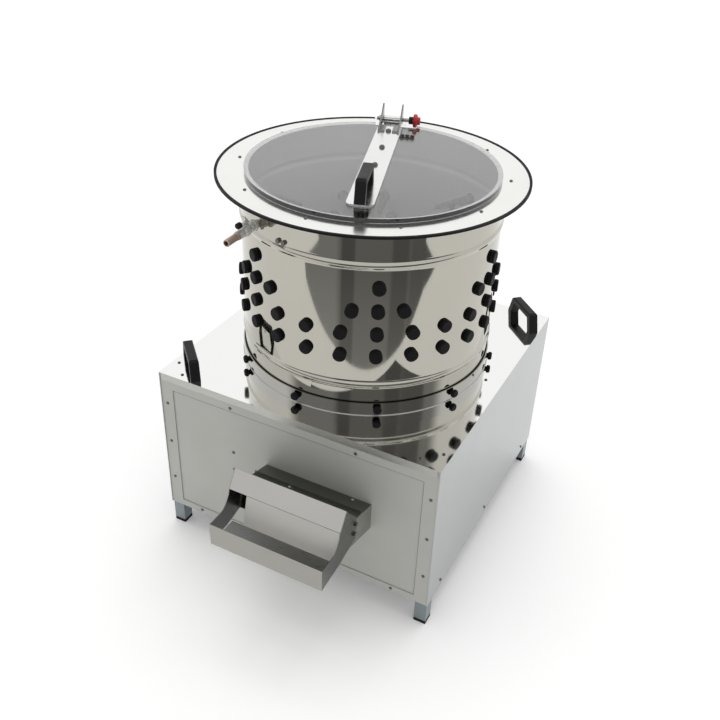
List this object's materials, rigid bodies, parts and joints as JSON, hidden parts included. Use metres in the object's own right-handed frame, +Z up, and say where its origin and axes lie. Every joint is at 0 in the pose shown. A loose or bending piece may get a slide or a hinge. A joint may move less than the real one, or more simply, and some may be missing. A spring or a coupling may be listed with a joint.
{
  "type": "poultry plucker",
  "caption": "Drum poultry plucker: rubber-fingered steel drum on a square cabinet, hinged smoked lid, water valve, guarded feather chute and a belt-driven finger plate.",
  "frame": {"origin": "on the floor, midway across the width and midway between the chute guard's front wall and the buttons at the back; the drum's axis is 64.5 mm behind it", "axes": "+X to the right as seen from the chute side, +Y to the back, +Z up"},
  "size_m": [0.6036, 0.839, 0.8213],
  "materials": {
    "satin_steel": "satin sheet",
    "polished_steel": "mirror polished sheet",
    "dark_steel": "dark smoked sheet",
    "screw_steel": "plain zinc",
    "machine_steel": "machined",
    "cast_grey": "as cast",
    "motor_paint": "semi-gloss paint",
    "black_rubber": "matt moulded rubber",
    "belt_rubber": "matt",
    "black_plastic": "satin moulded plastic",
    "smoked_clear": "smoked clear sheet",
    "hose_brass": "worn pinkish brass",
    "valve_steel": "plated",
    "red_plastic": "moulded",
    "green_plastic": "moulded",
    "grey_plastic": "fine grain"
  },
  "bodies": {
    "machine": {"legs": "satin_steel", "foot_caps": "black_rubber", "top_cover": "polished_steel", "left_panel": "satin_steel", "right_panel": "satin_steel", "back_panel": "satin_steel", "front_frame": "satin_steel", "front_panel": "satin_steel", "cabinet_screws": "screw_steel", "drum_collar": "polished_steel", "drum_seal": "black_rubber", "drum_buffers": "black_rubber", "buffer_studs": "screw_steel", "drum_shell": "polished_steel", "lower_fingers": "black_rubber", "upper_fingers": "black_rubber", "drum_bolts": "screw_steel", "drum_rim": "polished_steel", "rim_trim": "black_rubber", "rim_screws": "screw_steel", "hinge_leaf": "satin_steel", "inlet_socket": "valve_steel", "valve_body": "valve_steel", "hose_tail": "hose_brass", "carry_handle_front": "black_plastic", "carry_handle_rear": "black_plastic", "chute_hood": "dark_steel", "chute_flap": "satin_steel", "chute_guard": "satin_steel", "chute_curtain": "satin_steel", "chute_bolts": "screw_steel", "feather_pan": "satin_steel", "cross_rails": "machine_steel", "bearing_tube": "cast_grey", "shaft_bearings": "machine_steel", "motor_plate": "machine_steel", "motor": "motor_paint", "drive_belt": "belt_rubber", "switch_box": "grey_plastic", "cable_gland": "black_plastic"},
    "lid": {"lid_disc": "smoked_clear", "lid_strap": "polished_steel", "lid_handle": "black_plastic", "strap_screws": "screw_steel", "lid_ears": "polished_steel", "hinge_pin": "machine_steel", "hinge_spacer": "black_plastic", "hinge_knob": "red_plastic", "sensor_plate": "screw_steel"},
    "rotor": {"rotor_plate": "polished_steel", "rotor_fingers": "black_rubber", "rotor_hub": "cast_grey", "rotor_shaft": "machine_steel", "driven_pulley": "cast_grey"},
    "motor_shaft": {"motor_rotor": "machine_steel"},
    "lever": {"valve_lever": "valve_steel", "lever_grip": "black_plastic"},
    "start": {"start_button": "green_plastic"},
    "stop": {"stop_button": "red_plastic"}
  },
  "joints": [
    {"name": "lid_hinge", "type": "hinge", "parent": "machine", "child": "lid", "pos_m": [-0.07308, 0.29419, 0.7855], "axis": [-0.9478, -0.319, 0], "range_deg": [0, 100]},
    {"name": "rotor_spin", "type": "hinge", "parent": "machine", "child": "rotor", "pos_m": [0, 0.0645, 0.4], "axis": [0, 0, 1], "continuous": true},
    {"name": "motor_spin", "type": "hinge", "parent": "machine", "child": "motor_shaft", "pos_m": [-0.22118, 0.28568, 0.17], "axis": [0, 0, 1], "continuous": true},
    {"name": "valve_turn", "type": "hinge", "parent": "machine", "child": "lever", "pos_m": [-0.115, -0.18431, 0.732], "axis": [0, 0, -1], "range_deg": [0, 90]},
    {"name": "start_press", "type": "slide", "parent": "machine", "child": "start", "axis": [0, -1, 0], "range_m": [0, 0.004], "stiffness_N_per_m": 600},
    {"name": "stop_press", "type": "slide", "parent": "machine", "child": "stop", "axis": [0, -1, 0], "range_m": [0, 0.004], "stiffness_N_per_m": 600}
  ],
  "couplings": [
    {"joint": "motor_spin", "follows": "rotor_spin", "ratio": 4.7075}
  ]
}
